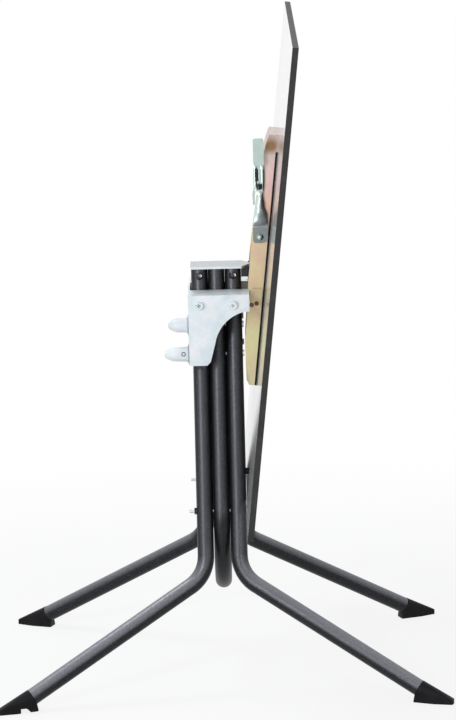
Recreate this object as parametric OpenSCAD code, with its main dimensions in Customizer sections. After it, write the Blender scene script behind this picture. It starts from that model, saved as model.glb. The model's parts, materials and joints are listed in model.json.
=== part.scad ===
// Tilt-top table on a four-legged tube stand, modelled in the parked pose: the top hangs
// nearly upright beside the column. Millimetres; the origin is on the floor under the column,
// +X points to the side on which the parked top hangs, +Z is up. Lengths along the top are
// given from the tilt pin, with the top level.

/* [Table top] */
// Length of the top, across the tilt axis
top_len = 800; // [700:10:850]
// Width of the top, along the tilt axis
top_wide = 800; // [600:10:900]
// Thickness of the top
top_thick = 10; // [8:1:14]
// How far the middle of the top lies from the tilt pin
top_shift = 20.1; // [12:0.1:28]
// Tilt between the level top and the parked top
park_angle = 96.42; // [95.8:0.02:97]

/* [Column] */
// Outer diameter of every tube
tube_d = 28; // [25:0.5:30]
// Wall of every tube
tube_wall = 2; // [1.5:0.1:3]
// Gap between neighbouring tubes of one row
tube_gap = 0.5; // [0.3:0.1:1.5]
// Gap between the two rows at the column's head
row_gap = 0.5; // [0.3:0.1:2]
// Height of the cut tube ends
column_high = 701; // [680:1:730]
// Lean of each row from upright
row_lean = 14.3; // [12:0.1:16]
// Bend radius of the middle tube's loop
loop_r = 120; // [100:1:130]

/* [Legs] */
// Height at which the column line meets the leg line
knee_z = 195; // [180:1:215]
// Bend radius of a leg tube at the knee
knee_r = 60; // [50:1:80]
// How much a tube swells in its bends, on the radius
bend_swell = 0.12; // [0.08:0.01:0.2]
// Length of a leg from the knee to the foot's collar
leg_len = 360; // [330:1:376]
// Height of the collar's centre above the floor
collar_high = 22.84; // [21:0.1:26]
// Direction of a leg in plan, from the X axis
leg_plan = 21.3; // [15:0.1:30]

/* [Feet] */
// Lip of a foot round the end of its tube
foot_lip = 0.5; // [0.2:0.1:1]
// Clearance round a foot's plug inside its tube
plug_fit = 0.1; // [0.05:0.05:0.3]
// Length of a foot's plug inside its tube
foot_grip = 20; // [14:1:26]
// Reach of the toe beyond the collar
toe_reach = 60; // [54:1:68]
// Height of the toe's tip
toe_high = 8; // [6:0.5:11]
// Width of the toe's tip
toe_wide = 13; // [10:0.5:20]
// Height of the notch under the front left foot
arch_high = 8; // [5:0.5:9]

/* [Head] */
// Thickness of the cap plate
cap_thick = 4; // [3:0.5:6]
// Edge of the cap plate beyond the tubes
cap_edge = 1; // [0.5:0.5:4]
// Reach of the cap plate's tongue
tongue_len = 13; // [10:0.5:13.5]
// Half width of the tongue's tip
tongue_half = 8; // [6:1:12]
// Diameter of the head bolts
head_bolt_d = 8; // [6:1:8]
// Depth of the head bolts below the cut tube ends
head_bolt_drop = 11; // [10:1:16]

/* [Bracket] */
// Sheet of the bracket and its cheeks
sheet = 3; // [2:0.5:4]
// Half width of the bracket over its cheeks
cheek_half = 95; // [90:1:105]
// Top of the bracket
bracket_top = 667; // [664:1:670]
// Bottom of the bracket
bracket_low = 547; // [530:1:555]
// Left edge of the bracket, from the column's middle
bracket_left = 48; // [46:0.5:54]
// Right edge of the cheeks, from the column's middle
bracket_right = 55.5; // [50:0.5:57]
// Height of the cheek's right end
cheek_end = 29; // [27:1:32]
// Width of the cheek's foot
cheek_foot = 30; // [24:1:34]
// Radius of the cheek's hollow curve
cheek_curve = 66; // [60:1:72]

/* [Tilt joint] */
// Distance of the tilt pin from the column's middle
pivot_x = 60; // [59:0.5:62]
// Height of the tilt pin
pivot_z = 698; // [696:0.5:699]
// Distance from the tilt pin to the underside of the top
rest = 25.7; // [24.5:0.1:27]
// Diameter of the tilt pin
pivot_d = 6; // [5:0.5:7]
// Running clearance round pins, on the radius
pivot_fit = 0.05; // [0.02:0.01:0.1]
// Clearance round bolts that only clamp, on the radius
bolt_fit = 0.2; // [0.1:0.05:0.4]
// Half width of the hinge block
block_half = 20; // [16:1:22]
// Height of the hinge block
block_high = 16; // [12:1:18]
// Radius of the hinge ears and of the block's round end
ear_r = 8; // [6.5:0.5:8.5]
// Wall of the nylon bushes in the hinge block
bush_wall = 1.5; // [1:0.25:2]
// Flange of a bush
bush_flange = 1.5; // [1:0.25:2]
// Gap left between faces that slide
side_gap = 0.3; // [0.2:0.05:0.5]
// Gap left under the level top and behind the parked top
seat_gap = 0.2; // [0.1:0.05:0.5]
// Thickness of the plates riveted on the channel
plate_thick = 4; // [3:0.5:5]
// Diameter of the rivets
rivet_d = 4.5; // [4:0.5:5]
// Diameter of the bracket bolts
bracket_bolt_d = 10; // [8:1:12]
// Height of the bracket bolts
bracket_bolt_z = 650; // [646:1:652]
// Wall of the spacer sleeves on the bracket bolts
sleeve_wall = 2.5; // [2:0.5:4]

/* [Channel] */
// Sheet of the channel
channel_sheet = 2.5; // [2:0.5:3]
// Half width of the channel over its walls
channel_half = 52; // [48:1:58]
// Length of the channel beyond the tilt pin, on the short side
channel_short = 194.2; // [185:0.2:200]
// Length of the channel beyond the tilt pin, on the long side
channel_long = 236; // [228:0.2:244]
// Deepest part of the channel, from the underside of the top
channel_deep = 29.6; // [28.5:0.1:31]
// Length of the closed hood at the long end
hood_len = 30; // [26:1:34]
// Length of the hood's steep part
hood_steep = 17; // [14:1:20]
// Start of the channel's deepest part, from its short end
belly_at = 180; // [170:1:190]
// Start of the channel's rise, from its short end
rise_at = 146; // [136:1:150]
// Middle of the channel's rise, from its short end
rise_mid = 77; // [70:1:84]
// End of the channel's rise, from its short end
rise_end = 42; // [36:1:48]
// Chamfer of the channel's short end
end_chamfer = 8.4; // [6:0.2:12]
// Length of the channel's deepest part beside the lever
belly_len = 41; // [36:1:46]
// Distance from the short end to the first row of screws
screw_first = 22; // [18:1:26]
// Distance of the middle row of screws from the tilt pin
screw_mid = 44.6; // [40:0.2:50]
// Distance of the last row of screws from the channel's far end
screw_end = 55.4; // [45:0.2:65]
// Distance from the short end to the riveted plates
plate_at = 167; // [160:1:174]
// Length of the riveted plates
plate_len = 33; // [28:1:38]
// Depth of the riveted plates' low edge, from the underside of the top
plate_deep = 25; // [23:0.5:26]
// Depth of the riveted plates' high edge, from the underside of the top
plate_shallow = 4; // [3:0.5:6]
// Distance from the short end to the deeper rivet
rivet_near = 138.5; // [136:0.5:141]
// Distance between the rivets along the channel
rivet_step = 3.5; // [0:0.5:6]
// Depth of the deeper rivet, from the underside of the top
rivet_deep = 20; // [18:0.5:21]
// Depth of the shallower rivet, from the underside of the top
rivet_shallow = 12; // [10:0.1:13]
// Thickness of the rubber strips between channel and top
pad_thick = 3; // [2:0.5:4]
// Width of the rubber strips
pad_wide = 20; // [14:1:24]
// Diameter of the channel's screws
screw_d = 6; // [5:0.5:7]
// Depth of the screws in the top
screw_bite = 7; // [5:0.5:7.5]

/* [Latch lever] */
// Sheet of the lever
lever_sheet = 3; // [2:0.5:4]
// Distance of the lever's screw along the top from the tilt pin
lever_at = 61.8; // [55:0.2:65]
// Distance of the lever's screw below the underside of the top
lever_drop = 16.2; // [15:0.1:17.5]
// Diameter of the lever's screw
lever_screw_d = 8; // [6:0.5:9]
// Length of the lever above its screw
lever_len = 168; // [150:1:180]
// Reach of the lever's eye below its screw
eye_low = 10; // [8:0.5:12]
// Reach of the lever's eye to the left of its screw
eye_left = 12.5; // [11:0.5:14]
// Reach of the lever's eye to the right of its screw
eye_right = 14; // [12:0.5:16]
// Height of the lever's wide part above its screw
neck_low = 17; // [14:1:20]
// Height at which the lever's blade reaches its neck
blade_high = 52; // [46:1:58]
// Half width of the lever's neck
neck_half = 4.5; // [4:0.25:6]
// Height of the lever's neck above its screw
neck_high = 70; // [60:1:75]
// Half width of the lever's hook
hook_half = 8.5; // [7.5:0.5:9.5]
// Width of the hook's slot
hook_slot = 6; // [4:0.5:7]
// Distance from the neck to the hook's slot
hook_rise = 26; // [22:1:30]
// Distance from the neck to the lever's spring
spring_rise = 12; // [10:1:14]
// Outer radius of the lever's spring
spring_r = 3.6; // [3:0.1:4.5]
// Length of the lever's grip
grip_len = 46; // [36:1:52]
// Width of the lever's grip
grip_wide = 18; // [14:1:22]
// Thickness of the lever's grip
grip_thick = 9; // [7:0.5:12]

/* [Bumpers] */
// Length of an upper nylon nose
nose_len = 34; // [26:1:38]
// Length of a lower nylon nose
low_nose_len = 41; // [30:1:44]
// Diameter of a nose
nose_d = 25; // [22:1:28]
// Diameter of the washers under the noses
washer_d = 36; // [32:1:40]
// Thickness of the washers under the noses
washer = 1.5; // [1:0.5:2]
// Diameter of a nose at its tip
nose_tip = 12; // [8:1:16]
// Height of the upper cross bolts
upper_z = 607; // [600:1:610]
// Height of the lower cross bolts
lower_z = 559; // [555:1:562]
// Depth of the base cross bolts below the parked top's low end
base_drop = 16; // [14:0.1:24]
// Diameter of the cross bolts
cross_d = 6; // [5:0.5:8]
// Height of the buffer above the parked top's low end
buffer_rise = 48; // [36:0.1:60]
// Diameter of the buffer
buffer_d = 11; // [8:1:14]

/* [Hidden] */
$fn = 48;

far = 400;
overlap = 0.1;
tube_r = tube_d / 2;
bore_r = tube_r - tube_wall;
pitch = tube_d + tube_gap;
row_half = tube_r / cos(row_lean);
row_y = row_half + row_gap / 2;
cap_top = column_high + cap_thick;

// Height of the parked top's low end, and what lines up with it
park_low = pivot_z - (top_len / 2 - top_shift) * sin(park_angle)
    + (rest + top_thick) * cos(park_angle);
base_z = park_low - base_drop;
buffer_z = park_low + buffer_rise;

// Distance of a row's centre line from the middle plane at height z
function row_at(z) = row_y + (column_high - z) * tan(row_lean);
// Outer face of a row's tubes at height z
function front_at(z) = row_at(z) + row_half;

knee = [pitch, row_at(knee_z), knee_z];
leg_slope = asin((knee_z - collar_high) / leg_len);
leg_out = cos(leg_slope);
leg_dir = [leg_out * cos(leg_plan), leg_out * sin(leg_plan), -sin(leg_slope)];
row_dir = [0, sin(row_lean), -cos(row_lean)];
collar = knee + leg_dir * leg_len;

// Colours
dark_paint = [0.16, 0.16, 0.18];
zinc = [0.80, 0.84, 0.86];
blue_zinc = [0.66, 0.78, 0.78];
yellow_zinc = [0.82, 0.72, 0.47];
nylon = [0.93, 0.94, 0.93];
rubber = [0.07, 0.07, 0.08];
laminate = [0.80, 0.80, 0.80];

// ---- shared shapes ----

// Places its children in the top's own frame: origin at the tilt pin, level top
module with_top() {
    translate([pivot_x, 0, pivot_z]) rotate([0, park_angle, 0]) children();
}

// A straight rod from a to b
module rod(a, b, r) {
    d = b - a;
    length = norm(d);
    turn = atan2(d[1], d[0]);
    lean = acos(d[2] / length);
    translate(a) rotate([0, lean, turn]) cylinder(h = length, r = r);
}

// A rod along Y from y0 to y1
module y_rod(x, z, y0, y1, r) {
    translate([x, y1, z]) rotate([90, 0, 0]) cylinder(h = y1 - y0, r = r);
}

// A rod along X from x0 to x1
module x_rod(y, z, x0, x1, r) {
    translate([x0, y, z]) rotate([0, 90, 0]) cylinder(h = x1 - x0, r = r);
}

// A round bend between two unit directions that meet at a corner
module bend(corner, from_dir, to_dir, bend_r, r) {
    turn = acos(from_dir * to_dir);
    back = bend_r * tan(turn / 2);
    start = corner - from_dir * back;
    side = to_dir - from_dir * (from_dir * to_dir);
    inward = side / norm(side);
    axis = cross(inward, from_dir);
    centre = start + inward * bend_r;
    multmatrix([[-inward[0], from_dir[0], -axis[0], centre[0]],
                [-inward[1], from_dir[1], -axis[1], centre[1]],
                [-inward[2], from_dir[2], -axis[2], centre[2]],
                [0, 0, 0, 1]])
        mirror([0, 0, 1])
        rotate_extrude(angle = turn) translate([bend_r, 0]) circle(r = r);
}

// The solid path of one leg tube, front left, with radius r
module leg_path(r, past) {
    turn = acos(row_dir * leg_dir);
    back = knee_r * tan(turn / 2);
    head = [pitch, row_at(column_high + far / 10), column_high + far / 10];
    rod(head, knee - row_dir * (back - overlap), r);
    bend(knee, row_dir, leg_dir, knee_r, r + bend_swell);
    rod(knee + leg_dir * (back - overlap), knee + leg_dir * (leg_len + past), r);
}

// Round holes for every bolt that crosses a leg tube
module tube_holes() {
    for (z = [upper_z, lower_z, base_z])
        x_rod(row_at(z), z, 0, 2 * pitch, cross_d / 2 + bolt_fit);
    y_rod(pitch, column_high - head_bolt_drop, 0, far, head_bolt_d / 2 + bolt_fit);
    y_rod(pitch, bracket_bolt_z, 0, far, bracket_bolt_d / 2 + bolt_fit);
}

// One leg tube in the quarter where x and y are positive
module leg_tube() {
    difference() {
        leg_path(tube_r, 0);
        leg_path(bore_r, 1);
        translate([-far, -far, column_high]) cube([2 * far, 2 * far, far]);
        tube_holes();
    }
}

// A domed bolt head that faces -Y, its flat side at y
module y_dome(x, y, z, d) {
    high = d * 0.42;
    ball = (high * high + d * d / 4) / (2 * high);
    translate([x, y, z]) rotate([90, 0, 0]) intersection() {
        cylinder(h = high, r = d / 2);
        translate([0, 0, high - ball]) sphere(r = ball);
    }
}

// A hexagon nut, with its axis along Z, and a hole for the bolt
module hex_nut(across, high, hole) {
    difference() {
        cylinder(h = high, d = across / cos(30), $fn = 6);
        translate([0, 0, -1]) cylinder(h = high + 2, r = hole);
    }
}

// ---- the tilting top ----

screw_rows = [channel_short - screw_first, -screw_mid, screw_end - channel_long];
screw_side = channel_half - channel_sheet - pad_wide / 2 - 1;

// Centres of the channel's screws in the top's frame, as [along, across]
function screw_spots() = [for (a = screw_rows) for (s = [-1, 1]) [a, s * screw_side]];

module table_top() {
    color(laminate) with_top() difference() {
        translate([-top_shift - top_len / 2, -top_wide / 2, rest])
            cube([top_len, top_wide, top_thick]);
        for (p = screw_spots())
            translate([p[0], p[1], rest - 1])
                cylinder(h = screw_bite + 2, r = screw_d / 2 + pivot_fit);
    }
}

// Depth of the channel at its hood and at its short end, as shares of its deepest part
hood_tip = 0.54;
hood_mid = 0.69;
hood_root = 0.76;
end_tip = 0.41;

// Side outline of a channel wall, from the underside of the top downwards
channel_outline = [
    [channel_short, pad_thick], [-channel_long + hood_len, pad_thick],
    [-channel_long + hood_len - 2, 0],
    [-channel_long, 0], [-channel_long, channel_deep * hood_tip],
    [-channel_long + hood_steep, channel_deep * hood_mid],
    [-channel_long + hood_len, channel_deep * hood_root],
    [-lever_at, channel_deep * 0.97], [-lever_at + belly_len, channel_deep],
    [channel_short - belly_at, channel_deep * 0.998],
    [channel_short - rise_at, channel_deep * 0.925],
    [channel_short - rise_mid, channel_deep * 0.85],
    [channel_short - rise_end, channel_deep * 0.74],
    [channel_short - end_chamfer, channel_deep * 0.58], [channel_short, channel_deep * end_tip]];

// A plate with the channel's side outline, from y0 to y1
module channel_slab(y0, y1) {
    translate([0, y1, rest]) rotate([90, 0, 0]) linear_extrude(height = y1 - y0)
        polygon([for (p = channel_outline) [p[0], -p[1]]]);
}

module top_channel() {
    inner = channel_half - channel_sheet;
    web_low = pad_thick + channel_sheet;
    hood = -channel_long + hood_len - 2;
    color(yellow_zinc) with_top() difference() {
        union() {
            for (s = [-1, 1])
                channel_slab(s > 0 ? inner : -channel_half, s > 0 ? channel_half : -inner);
            translate([hood - channel_sheet, -channel_half, rest - web_low])
                cube([channel_short - hood + channel_sheet, 2 * channel_half, channel_sheet]);
            translate([hood - channel_sheet, -channel_half, rest - web_low])
                cube([channel_sheet, 2 * channel_half, web_low]);
            translate([-channel_long, -channel_half, rest - channel_sheet])
                cube([channel_long + hood, 2 * channel_half, channel_sheet]);
            // hood that closes the long end, as a bent sheet
            intersection() {
                channel_slab(-inner, inner);
                union() {
                    translate([-channel_long, -inner, 0])
                        cube([channel_sheet, 2 * inner, rest]);
                    for (q = [[0, hood_tip, hood_steep, hood_mid],
                              [hood_steep, hood_mid, hood_len, hood_root]])
                        translate([-channel_long, inner, rest]) rotate([90, 0, 0])
                            linear_extrude(height = 2 * inner)
                            polygon([[q[0], -channel_deep * q[1]], [q[2], -channel_deep * q[3]],
                                     [q[2], -channel_deep * q[3] + channel_sheet],
                                     [q[0], -channel_deep * q[1] + channel_sheet]]);
                }
            }
            // closed short end
            translate([channel_short - channel_sheet, -inner, rest - channel_deep * end_tip])
                cube([channel_sheet, 2 * inner, channel_deep * end_tip - pad_thick]);
        }
        for (p = screw_spots())
            translate([p[0], p[1], 0]) cylinder(h = rest, r = screw_d / 2 + bolt_fit);
        for (p = rivet_spots)
            y_rod(p[0], p[1], -far, far, rivet_d / 2 + pivot_fit);
        y_rod(-lever_at, rest - lever_drop, -far, 0, lever_screw_d / 2 + pivot_fit);
    }
}

module channel_pads() {
    hood = -channel_long + hood_len;
    color(rubber) with_top() difference() {
        for (s = [-1, 1])
            translate([hood, s * (channel_half - pad_wide / 2) - pad_wide / 2,
                       rest - pad_thick])
                cube([channel_short - hood, pad_wide, pad_thick]);
        for (p = screw_spots())
            translate([p[0], p[1], 0]) cylinder(h = rest + 1, r = screw_d / 2 + bolt_fit);
    }
}

module channel_screws() {
    under = rest - pad_thick - channel_sheet;
    head = screw_d * 0.5;
    color(yellow_zinc) with_top() for (p = screw_spots())
        translate([p[0], p[1], under]) difference() {
            union() {
                cylinder(h = pad_thick + channel_sheet + screw_bite, r = screw_d / 2);
                translate([0, 0, -head]) cylinder(h = head, r1 = screw_d * 0.8, r2 = screw_d);
            }
            translate([0, 0, -head - 1])
                cylinder(h = head * 0.6 + 1, d = screw_d * 0.65, $fn = 6);
        }
}

// ---- plates riveted on the channel ----

rivet_spots = [[channel_short - rivet_near - rivet_step, rest - rivet_shallow],
    [channel_short - rivet_near, rest - rivet_deep]];
plate_in = channel_half + 0.1;
plate_out = plate_in + plate_thick;

// One plate on the front wall, seen from the side
module stop_plate() {
    high = rest - plate_shallow;
    low = rest - plate_deep;
    nick = plate_thick / 2;
    difference() {
        translate([channel_short - plate_at, -plate_in, 0]) rotate([90, 0, 0])
            linear_extrude(height = plate_thick)
            polygon([[0, low + nick], [nick, low], [plate_len - nick, low],
                     [plate_len, low + nick], [plate_len, high], [0, high]]);
        for (p = rivet_spots)
            y_rod(p[0], p[1], -far, far, rivet_d / 2 + pivot_fit);
    }
}

module stop_plate_front() {
    color(yellow_zinc) with_top() stop_plate();
}

module stop_plate_rear() {
    color(yellow_zinc) with_top() mirror([0, 1, 0]) stop_plate();
}

module plate_rivets() {
    color(yellow_zinc) with_top() for (s = [0, 1]) mirror([0, s, 0])
        for (p = rivet_spots) {
            y_rod(p[0], p[1], -plate_out - 0.5, -channel_half + channel_sheet + 0.5,
                  rivet_d / 2);
            y_dome(p[0], -plate_out, p[1], rivet_d * 1.7);
            translate([p[0], -channel_half + channel_sheet, p[1]]) rotate([-90, 0, 0])
                cylinder(h = rivet_d * 0.35, r = rivet_d * 0.75);
        }
}

// ---- seat and hinge under the channel's web ----

web_face = rest - pad_thick - channel_sheet;
cap_half = 2 * row_half + row_gap / 2 + cap_edge;
seat_low = cap_top + seat_gap - pivot_z;

// Bent seat on which the level top stands on the cap plate
module seat_bridge() {
    left = -pivot_x - pitch - tube_r;
    right = -pivot_x + pitch + tube_r;
    color(yellow_zinc) with_top() {
        translate([left, -cap_half, seat_low]) cube([right - left, 2 * cap_half, channel_sheet]);
        for (x = [left, right - channel_sheet])
            translate([x, -cap_half, seat_low])
                cube([channel_sheet, 2 * cap_half, web_face - seat_low]);
    }
}

ear_in = block_half + bush_flange + side_gap;
ear_out = ear_in + sheet;

module hinge_ears() {
    color(yellow_zinc) with_top() for (s = [0, 1]) mirror([0, s, 0]) difference() {
        translate([0, -ear_in, 0]) rotate([90, 0, 0]) linear_extrude(height = sheet) {
            circle(r = ear_r);
            polygon([[-ear_r, 0], [ear_r, 0], [ear_r + 5, web_face], [-ear_r - 2, web_face]]);
        }
        y_rod(0, 0, -far, far, pivot_d / 2 + pivot_fit);
    }
}

pin_end = ear_out + 3;

module pivot_pin() {
    color(zinc) with_top() y_rod(0, 0, -pin_end, pin_end, pivot_d / 2);
}

module pivot_clips() {
    color(rubber) with_top() for (s = [0, 1]) mirror([0, s, 0]) difference() {
        y_rod(0, 0, -ear_out - 1.4, -ear_out - 0.2, pivot_d * 0.8);
        y_rod(0, 0, -far, far, pivot_d / 2 + 0.02);
    }
}

bush_r = pivot_d / 2 + pivot_fit + bush_wall;

module pivot_bushes() {
    color(nylon) for (s = [0, 1]) mirror([0, s, 0]) difference() {
        union() {
            y_rod(pivot_x, pivot_z, -block_half - 0.1, -block_half / 2, bush_r);
            y_rod(pivot_x, pivot_z, -block_half - bush_flange, -block_half, ear_r - 1);
        }
        y_rod(pivot_x, pivot_z, -far, far, pivot_d / 2 + pivot_fit);
    }
}

block_x = pitch + tube_r + side_gap;
tongue_end = pitch + tube_r + cap_edge + tongue_len;

// Block under the cap plate's tongue, with a round end about the tilt pin
module hinge_block() {
    color(blue_zinc) difference() {
        union() {
            translate([block_x, -block_half, column_high - block_high])
                cube([pivot_x - block_x, 2 * block_half, block_high]);
            y_rod(pivot_x, pivot_z, -block_half, block_half, ear_r);
        }
        // bevel under the tongue, and room above for the cap plate
        translate([block_x - 1, -block_half - 1, column_high])
            cube([tongue_end + side_gap - block_x + 1, 2 * block_half + 2, far]);
        y_rod(pivot_x, pivot_z, -far, far, bush_r + 0.02);
    }
}

// ---- the column bracket's bolts ----

bolt_end = cheek_half + bracket_bolt_d * 0.8 + 1.5;

// A bolt through both cheeks at x, with a socket head at the front
module cheek_bolt(x) {
    head = bracket_bolt_d * 0.6;
    difference() {
        union() {
            y_rod(x, bracket_bolt_z, -cheek_half, bolt_end, bracket_bolt_d / 2);
            translate([x, -cheek_half, bracket_bolt_z]) rotate([90, 0, 0]) {
                cylinder(h = 1.2, r = bracket_bolt_d * 0.95);
                cylinder(h = head, r1 = bracket_bolt_d * 0.8, r2 = bracket_bolt_d * 0.62);
            }
        }
        translate([x, -cheek_half - bracket_bolt_d * 0.3, bracket_bolt_z]) rotate([90, 0, 0])
            cylinder(h = bracket_bolt_d, d = bracket_bolt_d * 0.6, $fn = 6);
    }
}

module bracket_bolts() {
    color(zinc) for (x = [-pitch, pitch]) cheek_bolt(x);
}

module bracket_nuts() {
    color(zinc) for (x = [-pitch, pitch])
        translate([x, cheek_half, bracket_bolt_z]) rotate([-90, 0, 0])
            hex_nut(bracket_bolt_d * 1.7, bracket_bolt_d * 0.8, bracket_bolt_d / 2 + pivot_fit);
}

// Spacer sleeves from the tubes to the cheeks, cut to the leaning tubes
module bracket_sleeves() {
    hole = bracket_bolt_d / 2 + bolt_fit;
    color(zinc) for (x = [-pitch, pitch]) for (s = [0, 1]) mirror([0, s, 0]) difference() {
        y_rod(x, bracket_bolt_z, -cheek_in, -row_at(bracket_bolt_z), hole + sleeve_wall);
        y_rod(x, bracket_bolt_z, -far, far, hole);
        rod([x, -row_at(0), 0], [x, -row_at(column_high), column_high],
            tube_r + bolt_fit / 2);
    }
}

cheek_in = cheek_half - sheet;

// ---- the column bracket ----

// Side outline of a cheek: a foot on the left, a hollow curve, an arm to the right
module cheek_outline() {
    end_low = bracket_top - cheek_end;
    curve_x = bracket_right + 6;
    curve_z = end_low - sqrt(cheek_curve * cheek_curve - 15 * 15);
    foot_x = -bracket_left + cheek_foot;
    arc = [for (a = [104 : 7.5 : 171.5])
        [curve_x + cheek_curve * cos(a), curve_z + cheek_curve * sin(a)]];
    polygon(concat([[-bracket_left, bracket_low], [-bracket_left, bracket_top],
                    [bracket_right, bracket_top], [bracket_right, end_low]],
                   arc, [[foot_x + 6, bracket_low + 6], [foot_x, bracket_low]]));
}

module column_bracket() {
    ledge_in = front_at(bracket_top) + 1;
    slot_in = channel_half - channel_sheet - 1;
    slot_x = 50;
    color(zinc) difference() {
        union() {
            for (s = [-1, 1])
                translate([0, s > 0 ? cheek_half : -cheek_in, 0]) rotate([90, 0, 0])
                    linear_extrude(height = sheet) cheek_outline();
            translate([-bracket_left, -cheek_half, bracket_low])
                cube([sheet, 2 * cheek_half, bracket_top - bracket_low]);
            for (s = [0, 1]) mirror([0, s, 0])
                translate([-bracket_left, ledge_in, bracket_top - sheet])
                    cube([bracket_left + bracket_right, cheek_half - ledge_in, sheet]);
        }
        for (x = [-pitch, pitch])
            y_rod(x, bracket_bolt_z, -far, far, bracket_bolt_d / 2 + bolt_fit);
        // slots in the ledges for the walls of the parked channel
        for (s = [0, 1]) mirror([0, s, 0])
            translate([slot_x, slot_in, bracket_top - sheet - 1])
                cube([far, channel_half + 1 - slot_in, sheet + 2]);
        for (z = [upper_z, lower_z]) for (s = [-1, 1])
            x_rod(s * row_at(z), z, -far, 0, cross_d / 2 + bolt_fit);
    }
}

// ---- the column's head ----

module column_cap() {
    half_x = pitch + tube_r + cap_edge;
    color(zinc) translate([0, 0, column_high]) linear_extrude(height = cap_thick)
        polygon([[-half_x, -cap_half], [half_x, -cap_half], [tongue_end, -tongue_half],
                 [tongue_end, tongue_half], [half_x, cap_half], [-half_x, cap_half]]);
}

head_bolt_z = column_high - head_bolt_drop;
head_nut_high = head_bolt_d * 0.65;
// How far a bolt head stands off the leaning tube's middle line
head_slack = head_bolt_d * tan(row_lean);

module head_bolts() {
    front = front_at(head_bolt_z);
    color(rubber) for (x = [-pitch, pitch]) {
        y_rod(x, head_bolt_z, -front - head_slack - 0.5, front + head_slack + head_nut_high + 1,
              head_bolt_d / 2);
        y_dome(x, -front - head_slack, head_bolt_z, head_bolt_d * 1.6);
    }
}

module head_nuts() {
    front = front_at(head_bolt_z);
    color(rubber) for (x = [-pitch, pitch])
        translate([x, front + head_slack, head_bolt_z]) rotate([-90, 0, 0])
            hex_nut(head_bolt_d * 1.6, head_nut_high, head_bolt_d / 2 + pivot_fit);
}

// ---- the tube stand ----

module leg_tube_front_left() {
    color(dark_paint) mirror([1, 0, 0]) mirror([0, 1, 0]) leg_tube();
}

module leg_tube_front_right() {
    color(dark_paint) mirror([0, 1, 0]) leg_tube();
}

module leg_tube_rear_left() {
    color(dark_paint) mirror([1, 0, 0]) leg_tube();
}

module leg_tube_rear_right() {
    color(dark_paint) leg_tube();
}

// The middle tube's loop lies in the YZ plane and touches both leaning lines
loop_z = column_high - (loop_r / cos(row_lean) - row_y) / tan(row_lean);

module loop_path(r, top) {
    tangent = [0, loop_r * cos(row_lean), loop_z + loop_r * sin(row_lean)];
    head_z = column_high + tube_d / 4;
    wing = [far * cos(row_lean), far * sin(row_lean)];
    for (s = [0, 1]) mirror([0, s, 0]) difference() {
        rod(tangent + row_dir * overlap, [0, row_at(head_z), head_z], r);
        translate([-far, -far, top]) cube([2 * far, 2 * far, far]);
    }
    translate([0, 0, loop_z]) rotate([90, 0, 90]) difference() {
        rotate_extrude() translate([loop_r, 0]) circle(r = r + bend_swell);
        translate([0, 0, -far / 2]) linear_extrude(height = far)
            polygon([[0, 0], wing, [0, 2 * far], [-wing[0], wing[1]]]);
    }
}

module middle_tube() {
    color(dark_paint) difference() {
        loop_path(tube_r, column_high);
        loop_path(bore_r, column_high + 1);
        for (s = [-1, 1]) for (z = [upper_z, lower_z, base_z])
            x_rod(s * row_at(z), z, -pitch, pitch, cross_d / 2 + bolt_fit);
    }
}

// ---- cross bolts, noses and buffer ----

tube_side = pitch + tube_r;

// One cross bolt at height z on the rear row, with its head on the right tube. Its end stands
// free on the left, or inside a nose
module cross_bolt(z, reach) {
    y = row_at(z);
    x_rod(y, z, -reach, tube_side, cross_d / 2);
    x_rod(y, z, tube_side, tube_side + 2.5, cross_d * 0.9);
}

module cross_bolts_front() {
    color(zinc) mirror([0, 1, 0]) {
        cross_bolt(upper_z, bracket_left + nose_len / 2);
        cross_bolt(lower_z, bracket_left + low_nose_len / 2);
        cross_bolt(base_z, tube_side + 2 * cross_d);
    }
}

module cross_bolts_rear() {
    color(zinc) {
        for (z = [upper_z, lower_z]) cross_bolt(z, bracket_left + cross_d / 2);
        cross_bolt(base_z, tube_side + 2 * cross_d);
    }
}

module cross_nuts() {
    color(rubber) for (s = [-1, 1])
        translate([-tube_side, s * row_at(base_z), base_z]) rotate([0, -90, 0])
            hex_nut(cross_d * 1.7, cross_d * 0.6, cross_d / 2 + pivot_fit);
}

// A tapered nylon nose on its washer on the bracket's left plate, on the front row
module nose(z, length) {
    base = 2.5;
    color(nylon) translate([-bracket_left - washer, -row_at(z), z]) rotate([0, -90, 0])
        difference() {
            rotate_extrude() polygon([[0, 0], [nose_d * 0.56, 0], [nose_d * 0.56, base],
                [nose_d / 2, base + 0.5], [nose_d * 0.48, length * 0.55],
                [nose_d * 0.40, length * 0.75], [nose_tip / 2, length - 2],
                [nose_tip / 2 - 2.5, length], [0, length]]);
            translate([0, 0, -1])
                cylinder(h = length / 2 + 2, r = cross_d / 2 + pivot_fit);
        }
}

module nose_upper() {
    nose(upper_z, nose_len);
}

module nose_lower() {
    nose(lower_z, low_nose_len);
}

module nose_washers() {
    color(rubber) for (z = [upper_z, lower_z]) difference() {
        x_rod(-row_at(z), z, -bracket_left - washer, -bracket_left, washer_d / 2);
        x_rod(-row_at(z), z, -far, far, cross_d / 2 + pivot_fit);
    }
}

// Sleeves that hold the bracket's left plate off the left tubes
module bracket_spacers() {
    color(rubber) for (s = [0, 1]) mirror([0, s, 0]) difference() {
        for (z = [upper_z, lower_z])
            x_rod(row_at(z), z, sheet - bracket_left, 1 - tube_side, cross_d * 0.9);
        for (z = [upper_z, lower_z])
            x_rod(row_at(z), z, -far, far, cross_d / 2 + pivot_fit);
        rod([-pitch, row_at(0), 0], [-pitch, row_at(column_high), column_high],
            tube_r + pivot_fit);
    }
}

// Height and side of the parked underside at the buffer
buffer_along = (pivot_z - buffer_z + rest * cos(park_angle)) / sin(park_angle);
buffer_face = pivot_x + buffer_along * cos(park_angle) + rest * sin(park_angle);

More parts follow.
